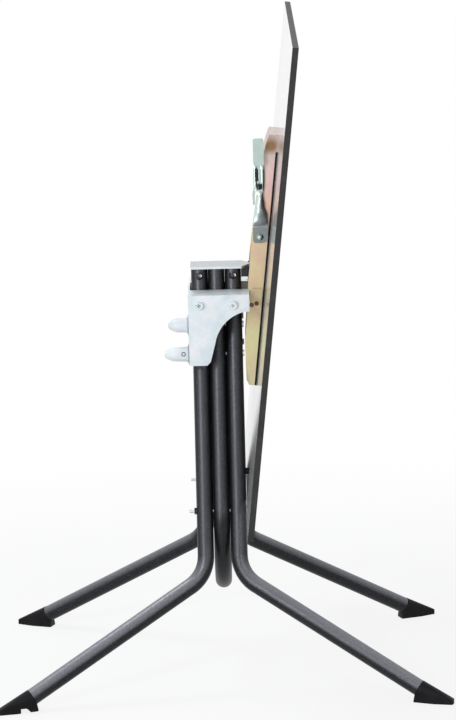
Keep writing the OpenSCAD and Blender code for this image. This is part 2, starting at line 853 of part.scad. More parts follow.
module panel_buffer() {
    seat = tube_side - 2;
    color(rubber) difference() {
        intersection() {
            x_rod(-row_at(buffer_z), buffer_z, seat, buffer_face + 5, buffer_d / 2);
            with_top() translate([-far, -far, rest - 1.5 * far - seat_gap])
                cube([2 * far, 2 * far, 1.5 * far]);
        }
        rod([pitch, -row_at(0), 0], [pitch, -row_at(column_high), column_high],
            tube_r + 0.02);
    }
}

// ---- the latch lever ----

lever_x = pivot_x - lever_at * cos(park_angle) + (rest - lever_drop) * sin(park_angle);
lever_z = pivot_z + lever_at * sin(park_angle) + (rest - lever_drop) * cos(park_angle);
lever_y = channel_half + 1.2;

// Places its children at the lever's screw, upright, on the outer face of the channel
module with_lever() {
    translate([lever_x, -lever_y, lever_z]) children();
}

// Side outline of the lever's plate, eye end to hook end
module lever_outline() {
    hook_top = lever_len - grip_len + lever_sheet + 1;
    slot_r = hook_slot / 2;
    slot_low = neck_high + hook_rise;
    slot_high = hook_top - hook_slot;
    neck_mid = hook_half * 0.2;
    difference() {
        union() {
            polygon([[-eye_left, -eye_low * 0.6], [-eye_left * 0.72, -eye_low],
                     [eye_right * 0.38, -eye_low], [eye_right * 0.81, -eye_low * 0.7],
                     [eye_right, 0], [eye_right, neck_low * 1.6],
                     [neck_mid + neck_half * 1.2, blade_high], [neck_mid + neck_half, neck_high],
                     [hook_half, neck_high + spring_rise],
                     [hook_half * 1.06, hook_top], [-hook_half, hook_top],
                     [-hook_half, neck_high + spring_rise + 4], [neck_mid - neck_half, neck_high],
                     [neck_mid - neck_half * 1.2, blade_high], [-eye_left * 0.6, neck_low * 1.6],
                     [-eye_left, neck_low]]);
        }
        circle(r = lever_screw_d / 2 + pivot_fit);
        // hook slot, open to the left
        translate([-slot_r / 2, slot_low]) circle(r = slot_r);
        translate([-slot_r * 1.5, slot_low]) square([hook_slot, slot_high - slot_low]);
        translate([-slot_r / 2, slot_high]) circle(r = slot_r);
    }
}

module latch_lever() {
    color(blue_zinc) with_lever() rotate([90, 0, 0])
        linear_extrude(height = lever_sheet) lever_outline();
}

module lever_grip() {
    low = lever_len - grip_len;
    mid = grip_wide / 2;
    color(blue_zinc) with_lever() translate([0.3, -lever_sheet, 0]) rotate([90, 0, 0]) hull() {
        translate([-mid + 3, low + 3, 0]) cylinder(h = grip_thick, r = 3);
        translate([mid - 3, low + 3, 0]) cylinder(h = grip_thick, r = 3);
        translate([-mid + 3, lever_len - 3, 0]) cylinder(h = grip_thick, r = 3);
        translate([mid - 6, lever_len - 6, 0]) cylinder(h = grip_thick, r = 6);
    }
}

module lever_screw() {
    head = lever_y + lever_sheet + 0.2;
    color(zinc) {
        y_rod(lever_x, lever_z, -head, -channel_half + channel_sheet + 4, lever_screw_d / 2);
        y_dome(lever_x, -head, lever_z, lever_screw_d * 1.5);
    }
}

module lever_washer() {
    color(zinc) difference() {
        y_rod(lever_x, lever_z, -lever_y + 0.1, -channel_half, lever_screw_d);
        y_rod(lever_x, lever_z, -far, far, lever_screw_d / 2 + pivot_fit);
    }
}

wire_r = spring_r / 4.5;

module lever_spring() {
    color(rubber) with_lever() translate([1, -lever_sheet - spring_r - 1.2,
                                               neck_high + spring_rise])
        for (i = [0 : 6]) translate([0, 0, i * wire_r * 1.7])
            rotate_extrude($fn = 24) translate([spring_r, 0]) circle(r = wire_r, $fn = 12);
}

// ---- the feet ----

foot_r = tube_r + foot_lip;

// One foot in the quarter where x and y are positive, with its plug inside the leg tube
module foot(notched) {
    ground = [collar[0], collar[1], 0];
    heel = foot_r * sin(leg_slope);
    tip = 3;
    difference() {
        union() {
            hull() {
                rod(collar, collar + leg_dir * 6, foot_r, $fn = 32);
                translate(ground) rotate([0, 0, leg_plan]) {
                    translate([-heel, -foot_r * 0.7, 0]) cube([heel, foot_r * 1.4, tip]);
                    for (s = [-1, 1]) translate([toe_reach - tip, s * (toe_wide / 2 - tip), 0])
                        cylinder(h = toe_high, r = tip, $fn = 24);
                    translate([toe_reach * 0.45, -foot_r * 0.75, 0])
                        cube([tip, foot_r * 1.5, toe_high * 1.6]);
                }
            }
            rod(collar - leg_dir * foot_grip, collar + leg_dir, bore_r - plug_fit);
        }
        translate([-far, -far, -far]) cube([3 * far, 3 * far, far]);
        if (notched)
            translate(ground) rotate([0, 0, leg_plan]) translate([0, foot_r * 2, 0])
                rotate([90, 0, 0]) linear_extrude(height = foot_r * 4)
                polygon([[heel * 0.8, -1], [heel * 1.6, arch_high * 0.7],
                         [heel * 2.2, arch_high], [toe_reach * 0.4, arch_high],
                         [toe_reach * 0.4, -1]]);
    }
}

module foot_front_left() {
    color(rubber) mirror([1, 0, 0]) mirror([0, 1, 0]) foot(true);
}

module foot_front_right() {
    color(rubber) mirror([0, 1, 0]) foot(false);
}

module foot_rear_left() {
    color(rubber) mirror([1, 0, 0]) foot(false);
}

module foot_rear_right() {
    color(rubber) foot(false);
}

table_top();
top_channel();
channel_pads();
channel_screws();
stop_plate_front();
stop_plate_rear();
plate_rivets();
seat_bridge();
hinge_ears();
pivot_pin();
pivot_clips();
pivot_bushes();
hinge_block();
column_cap();
column_bracket();
bracket_bolts();
bracket_nuts();
bracket_sleeves();
head_bolts();
head_nuts();
leg_tube_front_left();
leg_tube_front_right();
leg_tube_rear_left();
leg_tube_rear_right();
middle_tube();
cross_bolts_front();
cross_bolts_rear();
cross_nuts();
nose_upper();
nose_lower();
nose_washers();
bracket_spacers();
panel_buffer();
latch_lever();
lever_grip();
lever_screw();
lever_washer();
lever_spring();
foot_front_left();
foot_front_right();
foot_rear_left();
foot_rear_right();
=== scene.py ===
"""Looks of the tilt-top table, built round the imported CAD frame. Metres, same frame as the CAD."""
import json
import math

import bmesh
import bpy
from mathutils import Matrix, Vector
from mathutils.bvhtree import BVHTree
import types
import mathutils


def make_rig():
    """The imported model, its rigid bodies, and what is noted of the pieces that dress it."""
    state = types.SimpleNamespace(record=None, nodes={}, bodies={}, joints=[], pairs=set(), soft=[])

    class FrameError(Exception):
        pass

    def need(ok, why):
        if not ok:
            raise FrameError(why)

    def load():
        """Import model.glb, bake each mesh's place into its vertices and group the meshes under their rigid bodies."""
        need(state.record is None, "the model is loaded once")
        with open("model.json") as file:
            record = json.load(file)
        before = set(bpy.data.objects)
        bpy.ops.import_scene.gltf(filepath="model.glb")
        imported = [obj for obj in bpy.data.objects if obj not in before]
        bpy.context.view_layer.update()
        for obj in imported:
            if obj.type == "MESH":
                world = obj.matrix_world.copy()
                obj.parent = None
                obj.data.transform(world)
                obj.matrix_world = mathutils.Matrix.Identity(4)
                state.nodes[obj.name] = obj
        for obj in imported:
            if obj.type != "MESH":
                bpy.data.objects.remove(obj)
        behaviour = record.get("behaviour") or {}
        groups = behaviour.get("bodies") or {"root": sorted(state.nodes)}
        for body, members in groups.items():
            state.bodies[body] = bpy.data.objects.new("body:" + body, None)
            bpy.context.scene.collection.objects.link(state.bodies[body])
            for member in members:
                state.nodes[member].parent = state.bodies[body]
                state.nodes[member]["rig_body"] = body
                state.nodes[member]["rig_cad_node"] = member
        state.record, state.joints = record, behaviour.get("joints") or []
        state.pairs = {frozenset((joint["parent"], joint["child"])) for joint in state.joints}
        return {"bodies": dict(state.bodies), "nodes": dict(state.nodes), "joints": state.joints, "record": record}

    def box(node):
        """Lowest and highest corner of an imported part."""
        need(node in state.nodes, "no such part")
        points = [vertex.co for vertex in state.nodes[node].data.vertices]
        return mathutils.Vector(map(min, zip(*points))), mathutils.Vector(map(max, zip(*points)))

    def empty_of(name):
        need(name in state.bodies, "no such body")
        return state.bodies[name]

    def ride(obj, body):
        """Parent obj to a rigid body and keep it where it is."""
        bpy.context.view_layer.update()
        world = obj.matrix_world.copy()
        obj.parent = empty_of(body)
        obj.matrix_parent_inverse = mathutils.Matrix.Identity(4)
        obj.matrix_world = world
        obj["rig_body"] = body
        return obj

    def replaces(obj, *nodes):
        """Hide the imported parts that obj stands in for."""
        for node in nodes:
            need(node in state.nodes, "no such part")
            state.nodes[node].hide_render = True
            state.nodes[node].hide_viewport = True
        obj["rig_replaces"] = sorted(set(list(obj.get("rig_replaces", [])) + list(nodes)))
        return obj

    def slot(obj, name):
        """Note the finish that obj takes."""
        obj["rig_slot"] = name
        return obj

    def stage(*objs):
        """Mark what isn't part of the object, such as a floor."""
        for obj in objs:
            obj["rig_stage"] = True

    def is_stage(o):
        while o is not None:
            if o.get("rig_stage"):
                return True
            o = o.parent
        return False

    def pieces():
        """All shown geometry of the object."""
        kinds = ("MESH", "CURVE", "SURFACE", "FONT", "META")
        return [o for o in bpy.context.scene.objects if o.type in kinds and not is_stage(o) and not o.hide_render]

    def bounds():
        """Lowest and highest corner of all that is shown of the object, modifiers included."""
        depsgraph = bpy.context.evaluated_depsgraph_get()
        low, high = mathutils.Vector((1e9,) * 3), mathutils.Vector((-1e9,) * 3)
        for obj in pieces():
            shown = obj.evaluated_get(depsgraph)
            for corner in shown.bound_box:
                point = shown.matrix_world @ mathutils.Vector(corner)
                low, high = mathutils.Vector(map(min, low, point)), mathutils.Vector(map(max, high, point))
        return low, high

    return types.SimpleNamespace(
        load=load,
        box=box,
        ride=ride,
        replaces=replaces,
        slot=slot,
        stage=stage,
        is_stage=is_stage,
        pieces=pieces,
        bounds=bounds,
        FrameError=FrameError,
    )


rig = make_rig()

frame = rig.load()
CAD_BOX = [list(map(float, p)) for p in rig.bounds()]

# ---- camera ----

WIDTH, HEIGHT = 456, 720
LONG_SIDE = max(WIDTH, HEIGHT)
SENSOR = 36.0
CAM_AT = Vector((0.0511, -5.6173, 1.6579))
CAM_YAW, CAM_PITCH, CAM_ROLL = (math.radians(a) for a in (-0.352, 11.284, -1.470))
CAM_FOCAL = 3338.7
CAM_LENS = CAM_FOCAL * SENSOR / LONG_SIDE
CAM_REACH = 60
CAM_SHIFT = (0.0, 0.0)


def camera_axes(yaw, pitch, roll):
    """The camera's right, up and forward directions."""
    forward = Vector((math.sin(yaw) * math.cos(pitch), math.cos(yaw) * math.cos(pitch),
                      -math.sin(pitch)))
    right = forward.cross(Vector((0, 0, 1))).normalized()
    up = right.cross(forward)
    c, s = math.cos(roll), math.sin(roll)
    return c * right + s * up, -s * right + c * up, forward


def make_camera():
    data = bpy.data.cameras.new("camera")
    data.sensor_fit = "AUTO"
    data.sensor_width = SENSOR
    data.lens = CAM_LENS
    data.shift_x, data.shift_y = CAM_SHIFT
    data.clip_end = CAM_REACH
    cam = bpy.data.objects.new("camera", data)
    bpy.context.scene.collection.objects.link(cam)
    right, up, forward = camera_axes(CAM_YAW, CAM_PITCH, CAM_ROLL)
    turn = Matrix((right, up, -forward)).transposed().to_4x4()
    cam.matrix_world = Matrix.Translation(CAM_AT) @ turn
    bpy.context.scene.camera = cam
    return cam


camera = make_camera()

# ---- materials ----

# The parked board stands at this angle from level
PARK = math.radians(96.42)
TOP_NORMAL = Vector((math.sin(PARK), 0, math.cos(PARK)))


class Shader:
    """A material under construction: nodes by short calls, all on object coordinates."""

    def __init__(self, name):
        self.material = bpy.data.materials.new(name)
        self.material.use_nodes = True
        self.tree = self.material.node_tree
        self.surface = self.tree.nodes["Principled BSDF"]
        self.coords = self.tree.nodes.new("ShaderNodeTexCoord")

    def link(self, a, b):
        self.tree.links.new(a, b)

    def set(self, **values):
        """Fixed values on the shader's own sockets, with _ for a space in a socket's name."""
        for key, value in values.items():
            self.surface.inputs[key.replace("_", " ")].default_value = value

    def noise(self, scale, detail=4, rough=0.55, stretch=(1, 1, 1), shift=(0, 0, 0)):
        """Noise from 0 to 1 on object coordinates."""
        mapping = self.tree.nodes.new("ShaderNodeMapping")
        mapping.inputs["Scale"].default_value = stretch
        mapping.inputs["Location"].default_value = shift
        self.link(self.coords.outputs["Object"], mapping.inputs["Vector"])
        node = self.tree.nodes.new("ShaderNodeTexNoise")
        node.inputs["Scale"].default_value = scale
        node.inputs["Detail"].default_value = detail
        node.inputs["Roughness"].default_value = rough
        self.link(mapping.outputs[0], node.inputs["Vector"])
        return node.outputs["Fac"]

    def ramp(self, fac, stops):
        """A colour ramp from (place, colour) stops."""
        node = self.tree.nodes.new("ShaderNodeValToRGB")
        while len(node.color_ramp.elements) < len(stops):
            node.color_ramp.elements.new(0.5)
        for element, (place, color) in zip(node.color_ramp.elements, stops):
            element.position = place
            element.color = (*color, 1)
        self.link(fac, node.inputs["Fac"])
        return node.outputs["Color"]

    def mix(self, fac, a, b):
        """From a to b by fac. Each is a socket or a plain value."""
        node = self.tree.nodes.new("ShaderNodeMix")
        node.data_type = "RGBA"
        for socket, value in ((node.inputs["Factor"], fac), (node.inputs[6], a),
                              (node.inputs[7], b)):
            if hasattr(value, "is_linked"):
                self.link(value, socket)
            else:
                socket.default_value = value if isinstance(value, float) else (*value, 1)
        return node.outputs[2]

    def span(self, fac, low, high, to_low, to_high):
        """The range from low to high, laid on the range from to_low to to_high."""
        node = self.tree.nodes.new("ShaderNodeMapRange")
        for key, value in (("From Min", low), ("From Max", high), ("To Min", to_low),
                           ("To Max", to_high)):
            node.inputs[key].default_value = value
        self.link(fac, node.inputs["Value"])
        return node.outputs["Result"]

    def facing(self, axis):
        """How far the surface's own normal lies along an axis, from -1 to 1."""
        node = self.tree.nodes.new("ShaderNodeVectorMath")
        node.operation = "DOT_PRODUCT"
        node.inputs[1].default_value = axis
        self.link(self.coords.outputs["Normal"], node.inputs[0])
        return node.outputs["Value"]

    def spot(self, place, near, far):
        """1 within near of a place, in metres, fading to 0 at far."""
        node = self.tree.nodes.new("ShaderNodeVectorMath")
        node.operation = "DISTANCE"
        node.inputs[1].default_value = place
        self.link(self.coords.outputs["Object"], node.inputs[0])
        return self.span(node.outputs["Value"], near, far, 1.0, 0.0)

    def height(self, low, high):
        """0 at the low height and 1 at the high one, in the object's own frame."""
        node = self.tree.nodes.new("ShaderNodeSeparateXYZ")
        self.link(self.coords.outputs["Object"], node.inputs[0])
        return self.span(node.outputs["Z"], low, high, 0.0, 1.0)

    def add(self, a, b, share):
        """a + share * (b - 0.5)"""
        node = self.tree.nodes.new("ShaderNodeMath")
        node.operation = "MULTIPLY_ADD"
        self.link(b, node.inputs[0])
        node.inputs[1].default_value = share
        shift = self.tree.nodes.new("ShaderNodeMath")
        shift.operation = "ADD"
        self.link(a, shift.inputs[0])
        shift.inputs[1].default_value = -0.5 * share
        self.link(shift.outputs[0], node.inputs[2])
        return node.outputs[0]

    def color(self, socket):
        self.link(socket, self.surface.inputs["Base Color"])

    def rough(self, socket):
        self.link(socket, self.surface.inputs["Roughness"])

    def bump(self, fac, strength, distance):
        node = self.tree.nodes.new("ShaderNodeBump")
        node.inputs["Strength"].default_value = strength
        node.inputs["Distance"].default_value = distance
        self.link(fac, node.inputs["Height"])
        self.link(node.outputs["Normal"], self.surface.inputs["Normal"])


UP = (0, 0, 1)
GRAIN_SHARE = 0.12
FINE_RELIEF = 0.0002


def plated(name, stops, rough, scale, metallic, up_shade):
    """Plated metal: patches of tint, fine grain, and a share of painted shade where it faces up."""
    s = Shader(name)
    s.set(Metallic=metallic)
    patches = s.ramp(s.noise(scale, 5, 0.6), stops)
    grain = s.noise(420, 2, 0.5)
    worked = s.mix(s.span(grain, 0.3, 0.7, 0.0, GRAIN_SHARE), patches, (0.35, 0.36, 0.36))
    # Upward faces darken by the last argument's share: painted shade
    s.color(s.mix(s.span(s.facing(UP), 0.5, 0.9, 0.0, up_shade), worked, (0.36, 0.38, 0.38)))
    s.rough(s.span(s.noise(60, 3, 0.6), 0.3, 0.7, rough - 0.07, rough + 0.08))
    s.bump(grain, 0.12, FINE_RELIEF)
    return s.material


def painted():
    """Anthracite structure paint with light flakes, and painted highlight: paler where it faces up and forward."""
    s = Shader("anthracite_paint")
    flakes = s.noise(900, 2, 0.7)
    dark = s.ramp(flakes, [(0.35, (0.009, 0.009, 0.010)), (0.60, (0.024, 0.025, 0.028)),
                           (0.80, (0.170, 0.175, 0.190))])
    pale = s.ramp(flakes, [(0.35, (0.130, 0.133, 0.148)), (0.60, (0.270, 0.275, 0.300)),
                           (0.80, (0.450, 0.455, 0.470))])
    # Painted highlight: the pale ramp on faces looking up and forward
    s.color(s.mix(s.span(s.facing((0, -0.25, 1)), 0.32, 0.95, 0.0, 1.0), dark, pale))
    s.set(Metallic=0.5, Specular_IOR_Level=0.25)
    s.rough(s.span(s.noise(35, 3), 0.3, 0.7, 0.35, 0.41))
    s.bump(flakes, 0.12, FINE_RELIEF)
    return s.material


def laminate():
    """Pale glossy faces, and a near-black core that shows on the board's edges."""
    s = Shader("laminate_board")
    either = s.tree.nodes.new("ShaderNodeMath")
    either.operation = "ABSOLUTE"
    s.link(s.facing(TOP_NORMAL), either.inputs[0])
    face = s.span(either.outputs[0], 0.70, 0.80, 0.0, 1.0)
    pale = s.ramp(s.noise(5, 5, 0.6, (1, 0.2, 1)), [(0.3, (0.54, 0.53, 0.52)),
                                                    (0.7, (0.62, 0.61, 0.60))])
    core = s.ramp(s.noise(90, 5, 0.65, (0.3, 1, 0.3)), [(0.3, (0.010, 0.010, 0.011)),
                                                        (0.55, (0.022, 0.021, 0.021)),
                                                        (0.8, (0.050, 0.044, 0.042))])
    s.set(Specular_IOR_Level=0.35)
    s.color(s.mix(face, core, pale))
    s.rough(s.mix(face, (0.62, 0.62, 0.62), (0.09, 0.09, 0.09)))
    s.bump(s.noise(260, 3), 0.04, FINE_RELIEF)
    return s.material


def rubber():
    """Near-black moulded rubber with a fine grain."""
    s = Shader("moulded_rubber")
    s.set(Specular_IOR_Level=0.12)
    s.color(s.ramp(s.noise(40, 5, 0.6), [(0.3, (0.004, 0.004, 0.005)),
                                         (0.7, (0.009, 0.009, 0.010))]))
    s.rough(s.span(s.noise(25, 3), 0.3, 0.7, 0.42, 0.58))
    s.bump(s.noise(700, 2), 0.25, 0.0003)
    return s.material


def black_steel():
    """Dark steel with a smooth, uneven shine."""
    s = Shader("black_steel")
    s.set(Metallic=0.6)
    s.color(s.ramp(s.noise(150, 4, 0.6), [(0.3, (0.015, 0.015, 0.017)),
                                          (0.7, (0.05, 0.05, 0.055))]))
    s.rough(s.span(s.noise(90, 3), 0.3, 0.7, 0.14, 0.24))
    return s.material


def nylon():
    """White nylon with the fine rings that turning leaves."""
    s = Shader("turned_nylon")
    s.set(Subsurface_Weight=0.2, Subsurface_Scale=0.004, IOR=1.53)
    s.color(s.ramp(s.noise(30, 4, 0.5), [(0.3, (0.70, 0.75, 0.78)), (0.7, (0.78, 0.81, 0.83))]))
    s.rough(s.span(s.noise(200, 3, 0.5, (1, 1, 1)), 0.3, 0.7, 0.32, 0.45))
    s.bump(s.noise(500, 2, 0.5, (1, 0.05, 0.05)), 0.15, FINE_RELIEF)
    return s.material


# Heights between which the channel's tint runs, and its brown patch of painted shade with where that fades
CHANNEL_LOW, CHANNEL_HIGH = 0.50, 0.94
BROWN_AT = (0.0985, -0.052, 0.912)
BROWN_NEAR, BROWN_FAR = 0.006, 0.017
BROWN = (0.28, 0.16, 0.07)
TINTS = [(0.00, (0.78, 0.78, 0.44)), (0.20, (0.70, 0.66, 0.34)), (0.36, (0.62, 0.48, 0.30)),
         (0.54, (0.74, 0.58, 0.34)), (0.68, (0.80, 0.48, 0.40)), (0.82, (0.82, 0.54, 0.64)),
         (0.97, (0.40, 0.35, 0.40))]
PATCHES = [(0.32, (0.62, 0.34, 0.40)), (0.46, (0.74, 0.56, 0.36)), (0.58, (0.78, 0.74, 0.42)),
           (0.72, (0.46, 0.62, 0.40))]
PATCH_SHARE = 0.36


def chromate():
    """Yellow chromate on zinc: rose high up, gold in the middle, green-gold at the low end."""
    s = Shader("yellow_chromate")
    s.set(Metallic=0.65)
    along = s.add(s.height(CHANNEL_LOW, CHANNEL_HIGH), s.noise(16, 4, 0.6, (1, 1, 0.6)), 0.22)
    patches = s.ramp(s.noise(27, 5, 0.65, (1, 1, 0.55), (3, 1, 2)), PATCHES)
    tinted = s.mix(PATCH_SHARE, s.ramp(along, TINTS), patches)
    # A brown patch of painted shade high on the channel
    shade_patch_tint = s.mix(s.spot(BROWN_AT, BROWN_NEAR, BROWN_FAR), tinted, BROWN)
    grain = s.noise(420, 2, 0.5)
    s.color(s.mix(s.span(grain, 0.3, 0.7, 0.0, GRAIN_SHARE), shade_patch_tint, (0.35, 0.34, 0.32)))
    s.rough(s.span(s.noise(60, 3, 0.6), 0.3, 0.7, 0.34, 0.48))
    s.bump(grain, 0.12, FINE_RELIEF)
    return s.material


MM = 0.001
screw_low, screw_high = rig.box("lever_screw")
SCREW_X = (screw_low.x + screw_high.x) / 2
SCREW_Z = (screw_low.z + screw_high.z) / 2

# Faces seen from the front: pale on the grip and eye, painted shade on the plate round the screw, and
# between the two heights above the screw from one to the other
PALE_FRONT = (0.52, 0.64, 0.59)
SHADED_FRONT = (0.22, 0.25, 0.25)
LEVER_SHADED_HEIGHTS = (SCREW_Z + 39.5 * MM, SCREW_Z + 62.5 * MM)
# Faces that look this way, to the board's side, take painted shade
LEVER_SHADED_SIDE = (0.92, 0.1, -0.38)


def bright_zinc(name, shaded_heights=None):
    """Blue chromate on formed steel: pale mint to the left, and painted shade on the faces to the board's side.

    The second argument is the pair of heights between which the front goes from painted shade below to pale above."""
    s = Shader(name)
    s.set(Metallic=0.8)
    # How far a face looks to the board's side, where it takes painted shade
    shaded_share = s.span(s.facing(LEVER_SHADED_SIDE), -1.0, 1.0, 0.0, 1.0)
    shaded_share = s.add(shaded_share, s.noise(60, 4, 0.6), 0.16)

    def steel(front):
        return s.ramp(shaded_share, [(0.0, (0.62, 0.76, 0.70)), (0.30, (0.58, 0.70, 0.66)),
                               (0.40, front), (0.55, front), (0.66, (0.09, 0.09, 0.09)),
                               (0.85, (0.02, 0.02, 0.02))])

    shade = steel(PALE_FRONT)
    # Below those heights the front takes painted shade
    if shaded_heights is not None:
        shade = s.mix(s.height(*shaded_heights), steel(SHADED_FRONT), shade)
    s.color(s.mix(s.span(s.noise(140, 4, 0.6), 0.4, 0.8, 0.0, 0.3), shade, (0.42, 0.44, 0.48)))
    s.rough(s.span(s.noise(80, 3, 0.6), 0.3, 0.7, 0.26, 0.38))
    s.bump(s.noise(300, 2), 0.08, FINE_RELIEF)
    return s.material


CLEAR = [(0.30, (0.62, 0.68, 0.72)), (0.46, (0.70, 0.78, 0.82)), (0.60, (0.80, 0.82, 0.84)),
         (0.74, (0.72, 0.84, 0.86))]

LOOKS = {
    "table_board": laminate(),
    "yellow_zinc": chromate(),
    "clear_zinc": plated("clear_zinc", CLEAR, 0.46, 30.0, 0.6, 0.1),
    "blue_zinc": bright_zinc("blue_chromate", LEVER_SHADED_HEIGHTS),
    "black_steel": black_steel(),
    "dark_paint": painted(),
    "black_rubber": rubber(),
    "white_nylon": nylon(),
}
# Nodes that the photograph shows in another finish than their slot's
RIVET = [(0.35, (0.16, 0.035, 0.045)), (0.65, (0.36, 0.16, 0.10))]
NODE_LOOKS = {
    "lever_grip": bright_zinc("pale_chromate"),
    # The cap's top takes a larger share of painted shade
    "column_cap": plated("cap_zinc", CLEAR, 0.46, 30.0, 0.6, 0.75),
    "plate_rivets": plated("rivet_brown", RIVET, 0.4, 60.0, 0.3, 0.0),
}
NODE_LOOKS["lever_screw"] = NODE_LOOKS["lever_grip"]
for dark_node in ("hinge_block", "hinge_ears", "pivot_bushes", "pivot_clips"):
    NODE_LOOKS[dark_node] = LOOKS["black_steel"]
SLOTS = {entry["node"]: entry["material_slot"] for entry in frame["record"]["subparts"]}


def soften(obj, name, width, angle):
    """A two-step bevel on the edges sharper than an angle in degrees."""
    bevel = obj.modifiers.new(name, "BEVEL")
    bevel.width = width
    bevel.segments = 2
    bevel.limit_method = "ANGLE"
    bevel.angle_limit = math.radians(angle)


# Widths of the softened edges, in metres
BEVELS = {"table_top": 0.0006, "top_channel": 0.0008, "column_bracket": 0.0012,
          "column_cap": 0.0006, "hinge_block": 0.001, "lever_grip": 0.0008,
          "stop_plate_front": 0.0006, "stop_plate_rear": 0.0006, "seat_bridge": 0.0006,
          "foot_front_left": 0.0015, "foot_front_right": 0.0015, "foot_rear_left": 0.0015,
          "foot_rear_right": 0.0015}
EDGE_ANGLE = 40


def dress(node, obj):
    """Gives a CAD node its finish and softens its edges where it has a width for that."""
    look = NODE_LOOKS.get(node, LOOKS[SLOTS[node]])
    obj.data.materials.clear()
    obj.data.materials.append(look)
    if node in BEVELS:
        soften(obj, "edge", BEVELS[node], EDGE_ANGLE)


for node, obj in frame["nodes"].items():
    dress(node, obj)

# ---- image points ----

# What shows at these pixels of the 456 x 720 photograph
POINTS = {
    "object_left": (0.0, None),
    "object_right": (453.9, None),
    "object_top": (None, 1.8),
    "object_bottom": (None, 717.9),
    "foot_front_left_toe": (0.0, 711.0),
    "foot_front_right_toe": (453.9, 702.5),
    "foot_rear_left_toe": (18.0, 621.0),
    "foot_rear_right_toe": (432.5, 613.0),
    "board_near_corner": (296.8, 48.5),
    "board_far_corner": (286.5, 2.0),
    "lever_screw": (259.8, 236.2),
    "bracket_bolt_left": (198.0, 305.5),
    "bracket_bolt_right": (233.3, 305.0),
    "head_bolt_left": (200.5, 276.0),
    "head_bolt_right": (234.5, 275.0),
    "channel_rivet": (256.3, 303.5),
    "nose_screw": (183.6, 354.3),
    "cap_left": (192.0, 265.0),
}


def image_ray(x, y):
    """Where a photograph point's ray starts, and its direction."""
    turn = camera.matrix_world.to_3x3()
    far = -LONG_SIDE * CAM_LENS / SENSOR
    way = Vector((x - WIDTH / 2 + CAM_SHIFT[0] * LONG_SIDE,
                  HEIGHT / 2 - y + CAM_SHIFT[1] * LONG_SIDE, far))
    return CAM_AT.copy(), (turn @ way).normalized()


def image_of(place):
    """Photograph point of a place."""
    p = camera.matrix_world.inverted() @ Vector(place)
    k = LONG_SIDE * CAM_LENS / SENSOR / -p.z
    return (p.x * k + WIDTH / 2 - CAM_SHIFT[0] * LONG_SIDE,
            HEIGHT / 2 - p.y * k + CAM_SHIFT[1] * LONG_SIDE)


def finished(obj):
    """The vertices and faces of a piece as finished and placed."""
    shape = obj.evaluated_get(bpy.context.evaluated_depsgraph_get())
    mesh = shape.to_mesh()
    places = [shape.matrix_world @ v.co for v in mesh.vertices]
    faces = [tuple(f.vertices) for f in mesh.polygons]
    shape.to_mesh_clear()
    return places, faces


def on_surface(point, carrier):
    """The place and outward direction where a photograph point meets its carrier."""
    start, way = image_ray(*POINTS[point])
    places, faces = finished(carrier)
    tree = BVHTree.FromPolygons(places, faces)
    place, normal = tree.ray_cast(start, way)[:2]
    if place is None:
        depth = (sum(places, Vector()) / len(places) - start).dot(way)
        place, normal = tree.find_nearest(start + way * depth)[:2]
    if normal.dot(way) > 0:
        normal = -normal
    return place, normal


# ---- pieces ----


def make_piece(name, body, slot, build, smooth=True):
    """A mesh piece from a bmesh that build fills. It rides on a body and takes a slot's look."""
    mesh = bpy.data.meshes.new(name)
    bm = bmesh.new()
    build(bm)
    bmesh.ops.recalc_face_normals(bm, faces=bm.faces[:])
    bm.to_mesh(mesh)
    bm.free()
    for face in mesh.polygons:
        face.use_smooth = smooth
    obj = bpy.data.objects.new(name, mesh)
    mesh.materials.append(LOOKS[slot])
    bpy.context.scene.collection.objects.link(obj)
    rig.slot(obj, slot)
    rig.ride(obj, body)
    return obj


def tube(bm, path, radius, sides):
    """A round tube with closed ends along a path."""
    rings = []
    side = None
    for k, p in enumerate(path):
        ahead = (path[min(k + 1, len(path) - 1)] - path[max(k - 1, 0)]).normalized()
        if side is None:
            side = ahead.orthogonal().normalized()
        side = (side - ahead * side.dot(ahead)).normalized()
        over = ahead.cross(side)
        rings.append([bm.verts.new(p + radius * (math.cos(a) * side + math.sin(a) * over))
                      for a in (2 * math.pi * n / sides for n in range(sides))])
    for a, b in zip(rings, rings[1:]):
        for n in range(sides):
            bm.faces.new((a[n], a[(n + 1) % sides], b[(n + 1) % sides], b[n]))
    bm.faces.new(rings[0][::-1])
    bm.faces.new(rings[-1])


def between(stops, at):
    """The value of a table of (place, value) rows at a place, smoothly between rows."""
    if at <= stops[0][0]:
        return stops[0][1]
    for (a, low), (b, high) in zip(stops, stops[1:]):
        if at <= b:
            t = (at - a) / (b - a)
            return low + (high - low) * t * t * (3 - 2 * t)
    return stops[-1][1]


# The channel's near wall, on which the lever lies
WALL_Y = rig.box("latch_lever")[1].y

# Formed lever, in millimetres from its screw: rows of height against its left edge, its right
# edge, how far its edges stand off the wall, how far its middle stands off its edges, and how
# far the rolled flanks of its eye stand off
LEVER_FOOT, LEVER_TIP = -10, 127
LEVER_LEFT = [(LEVER_FOOT, -8.6), (-8.5, -10.8), (-5, -12.4), (18, -12.2), (24, -10.6),
              (36, -8.8), (52, -6.8), (70, -3.0), (80, -7.0), (90, -8.5), (LEVER_TIP, -8.5)]
LEVER_RIGHT = [(LEVER_FOOT, 6), (-8, 10.6), (-3, 13.6), (22, 13.9), (36, 12.8), (52, 8.0),
               (70, 6.0), (82, 8.2), (104, 9.0), (LEVER_TIP, 8.8)]
LEVER_DEPTH = [(LEVER_FOOT, 2.4), (16.0, 2.4), (18.2, 1.3), (30, 2.6), (60, 3.2), (76, 2.0),
               (90, 1.7), (LEVER_TIP, 1.7)]
LEVER_CROWN = [(LEVER_FOOT, 0), (18.2, 0), (26, 2.6), (44, 4.6), (64, 4.2), (76, 1.2), (84, 0),
               (LEVER_TIP, 0)]
